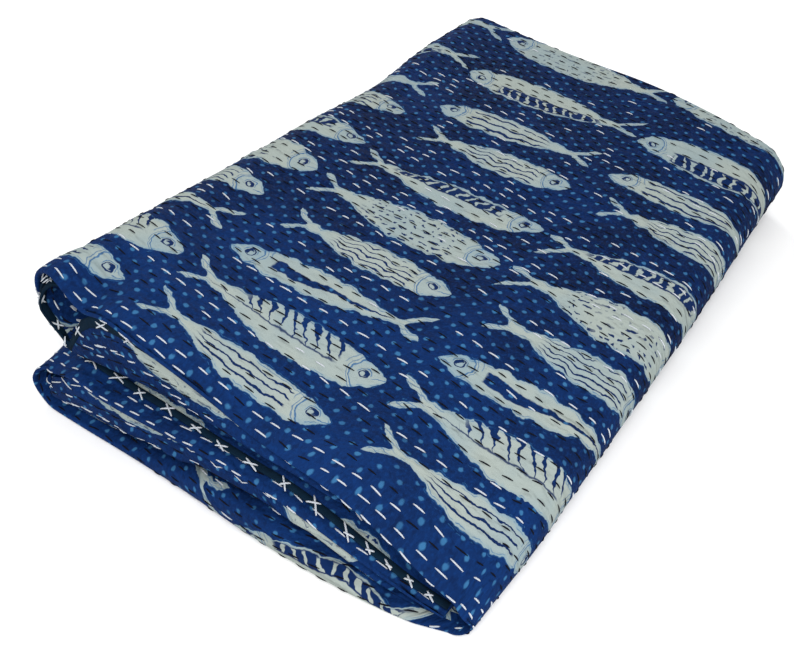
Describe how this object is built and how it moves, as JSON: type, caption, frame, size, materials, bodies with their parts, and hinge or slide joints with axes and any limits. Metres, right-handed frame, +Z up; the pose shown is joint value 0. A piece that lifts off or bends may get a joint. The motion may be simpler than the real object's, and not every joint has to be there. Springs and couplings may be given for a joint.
{
  "type": "folded kantha quilt",
  "caption": "Indigo cotton kantha quilt with a fish print and running stitches, folded in four both ways, lying with its rolled folds to the left.",
  "frame": {"origin": "on the surface it rests on, under the middle of its box", "axes": "+X to the right, from the rolled folds to the wrapped fold; +Y from the front with the free hems to the back; +Z up"},
  "size_m": [0.386, 0.6012, 0.1199],
  "materials": {
    "indigo cotton": "matte block-printed cotton, sewn through with running stitches"
  },
  "bodies": {
    "root": {"quilt": "indigo cotton"}
  },
  "joints": []
}
